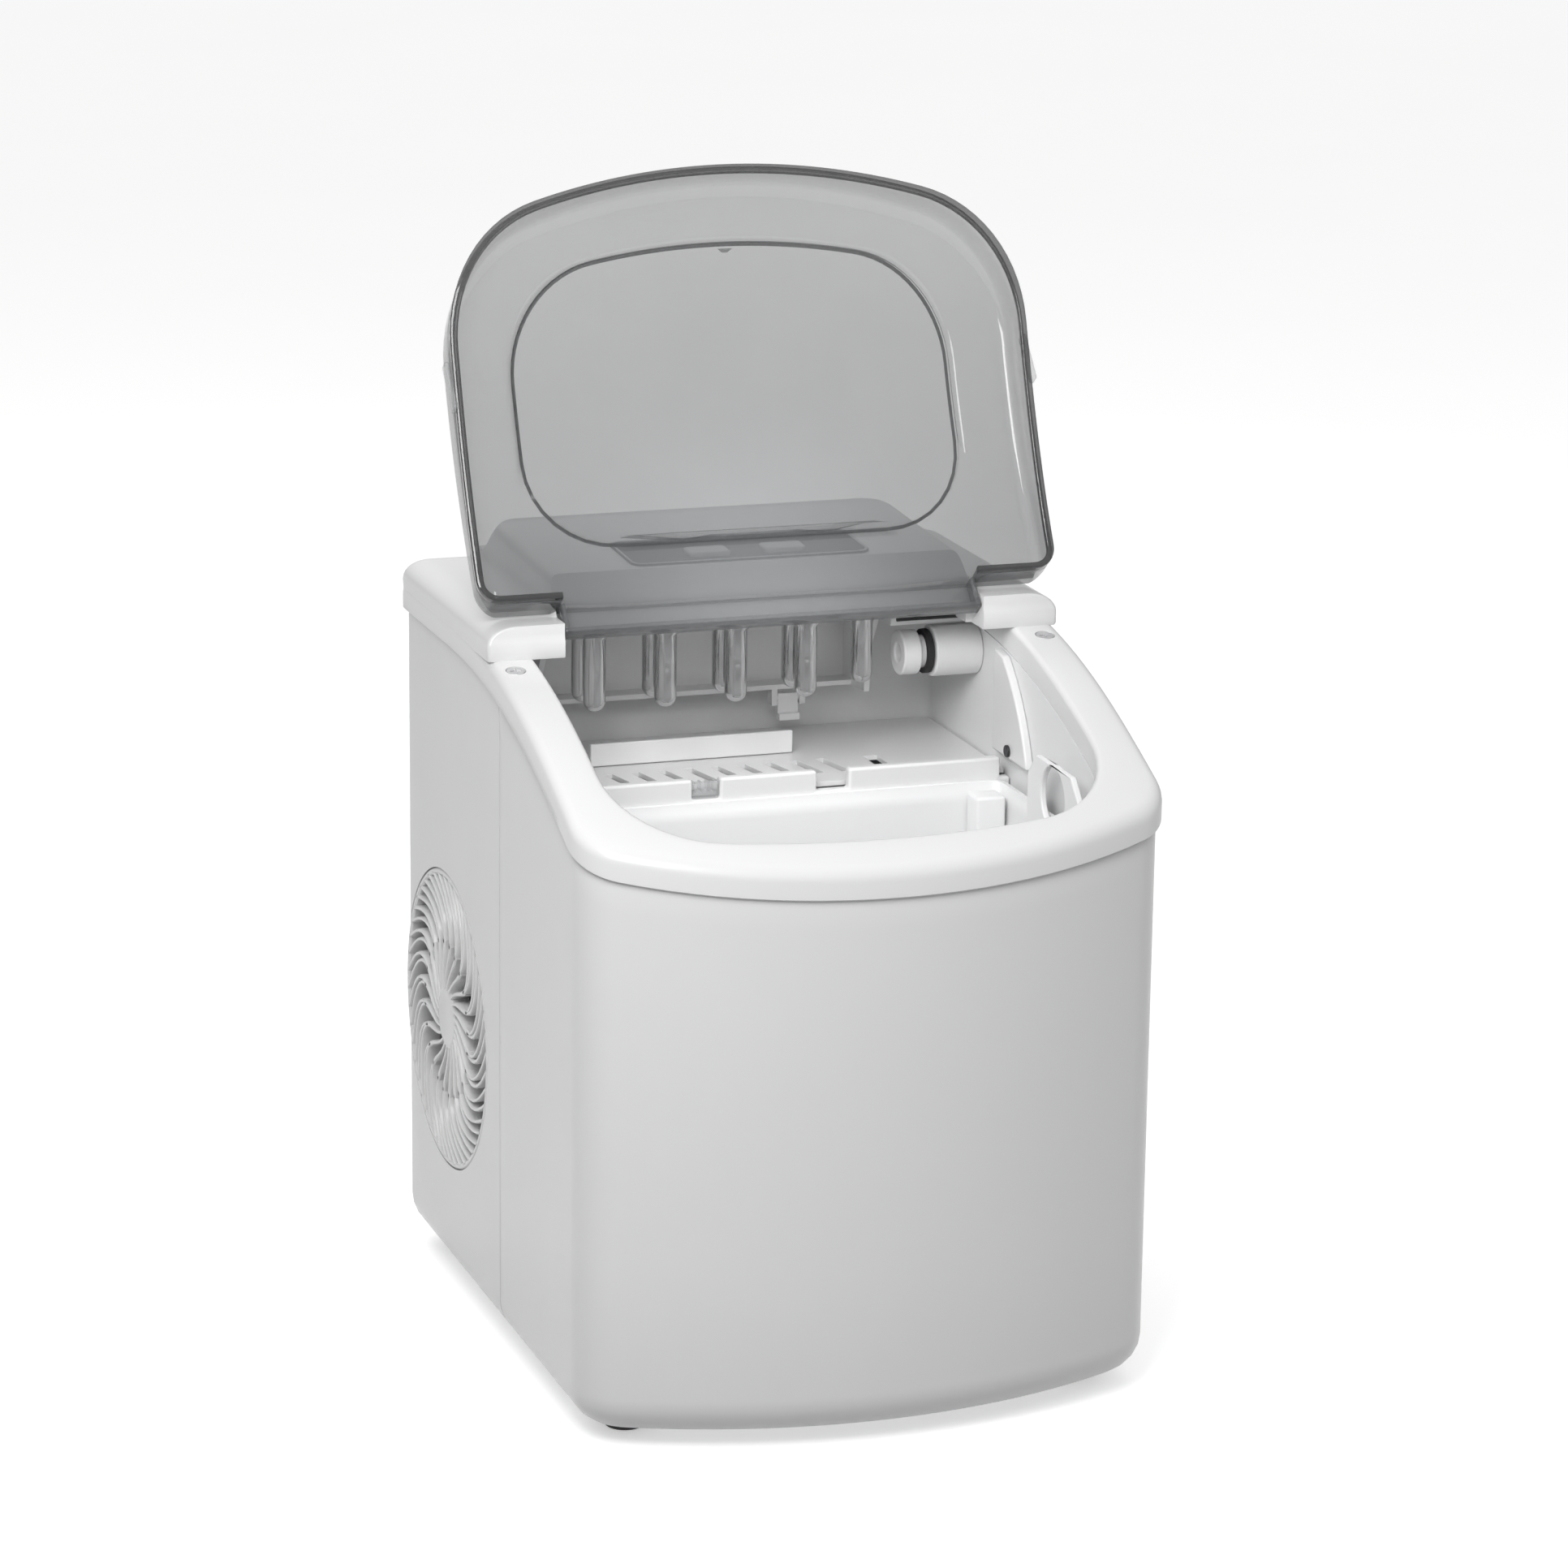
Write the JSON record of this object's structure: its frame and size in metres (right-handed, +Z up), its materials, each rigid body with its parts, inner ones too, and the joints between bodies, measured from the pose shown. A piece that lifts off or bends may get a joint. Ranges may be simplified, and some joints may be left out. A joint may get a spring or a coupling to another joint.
{
  "type": "countertop ice maker",
  "caption": "Countertop ice maker with a hinged clear lid, lift-out ice basket, tilting water tray, freezing fingers, ice shovel and a sloping control cover.",
  "frame": {"origin": "on the table, under the middle of the body's footprint", "axes": "+Z up; the front, with the ice opening, faces -Y; +X to the right seen from the front"},
  "size_m": [0.2524, 0.304, 0.4787],
  "materials": {
    "white_plastic": "satin",
    "inner_white": "smooth",
    "smoked_clear": "clear smoked plastic",
    "panel_grey": "satin film",
    "button_grey": "gloss",
    "lens_grey": "gloss",
    "black_plastic": "fine grain",
    "black_rubber": "matte",
    "steel": "polished",
    "aluminium": "plain",
    "copper": "copper tube",
    "black_steel": "satin black",
    "grey_steel": "plain",
    "circuit_green": "circuit board",
    "hose_clear": "silicone"
  },
  "bodies": {
    "body": {"base_pan": "inner_white", "rubber_feet": "black_rubber", "front_shell": "white_plastic", "rear_shell": "white_plastic", "vent_grille": "white_plastic", "top_frame": "white_plastic", "control_cover": "white_plastic", "control_overlay": "panel_grey", "indicator_lenses": "lens_grey", "circuit_board": "circuit_green", "frame_screws": "steel", "inner_tub": "inner_white", "ice_guide": "white_plastic", "clear_guide": "smoked_clear", "drip_grate": "white_plastic", "chamber_roof": "inner_white", "evaporator_block": "aluminium", "freezing_fingers": "steel", "refrigerant_line": "copper", "compressor": "black_steel", "condenser": "aluminium", "fan_shroud": "black_plastic", "fan_motor": "grey_steel", "water_pump": "inner_white", "water_hose": "hose_clear", "water_spout": "white_plastic", "spout_seal": "black_rubber", "tray_bracket": "inner_white", "tray_motor": "inner_white", "sensor_cover_left": "white_plastic", "sensor_cover_right": "white_plastic", "sensor_lenses": "black_plastic", "sensor_wire": "black_rubber", "drain_port": "inner_white", "cord_gland": "black_rubber"},
    "lid": {"lid_shell": "smoked_clear", "lid_hinge_pins": "smoked_clear"},
    "tray": {"water_tray": "white_plastic", "tray_shaft": "grey_steel"},
    "arm": {"push_arm": "white_plastic"},
    "shovel": {"ice_shovel": "white_plastic"},
    "basket": {"ice_basket": "white_plastic"},
    "power_key": {"power_button": "button_grey"},
    "select_key": {"select_button": "button_grey"},
    "fan": {"fan_rotor": "black_plastic"},
    "plug": {"drain_plug": "black_rubber"}
  },
  "joints": [
    {"name": "lid_hinge", "type": "hinge", "parent": "body", "child": "lid", "pos_m": [0, 0.012, 0.3025], "axis": [-1, 0, 0], "range_deg": [-131, 0]},
    {"name": "tray_tilt", "type": "hinge", "parent": "body", "child": "tray", "pos_m": [0, 0.058, 0.294], "axis": [1, 0, 0], "range_deg": [-88, 0]},
    {"name": "arm_swing", "type": "hinge", "parent": "tray", "child": "arm", "pos_m": [0.0315, 0.08443, 0.24855], "axis": [1, 0, 0], "range_deg": [-2, 90]},
    {"name": "shovel_slide", "type": "slide", "parent": "body", "child": "shovel", "axis": [0, 1, 0], "range_m": [-0.045, 0]},
    {"name": "basket_lift", "type": "slide", "parent": "body", "child": "basket", "axis": [0, 0, 1], "range_m": [0, 0.24]},
    {"name": "power_press", "type": "slide", "parent": "body", "child": "power_key", "axis": [0, 0.0477, -0.9989], "range_m": [0, 0.0008], "stiffness_N_per_m": 800},
    {"name": "select_press", "type": "slide", "parent": "body", "child": "select_key", "axis": [0, 0.0477, -0.9989], "range_m": [0, 0.0008], "stiffness_N_per_m": 800},
    {"name": "fan_spin", "type": "hinge", "parent": "body", "child": "fan", "pos_m": [-0.09, 0.079, 0.12], "axis": [1, 0, 0], "continuous": true},
    {"name": "plug_pull", "type": "slide", "parent": "body", "child": "plug", "axis": [0, 1, 0], "range_m": [0, 0.04]}
  ],
  "couplings": [
    {"joint": "arm_swing", "follows": "tray_tilt", "ratio": -1},
    {"joint": "shovel_slide", "follows": "tray_tilt", "m_per_rad": 0.026}
  ]
}
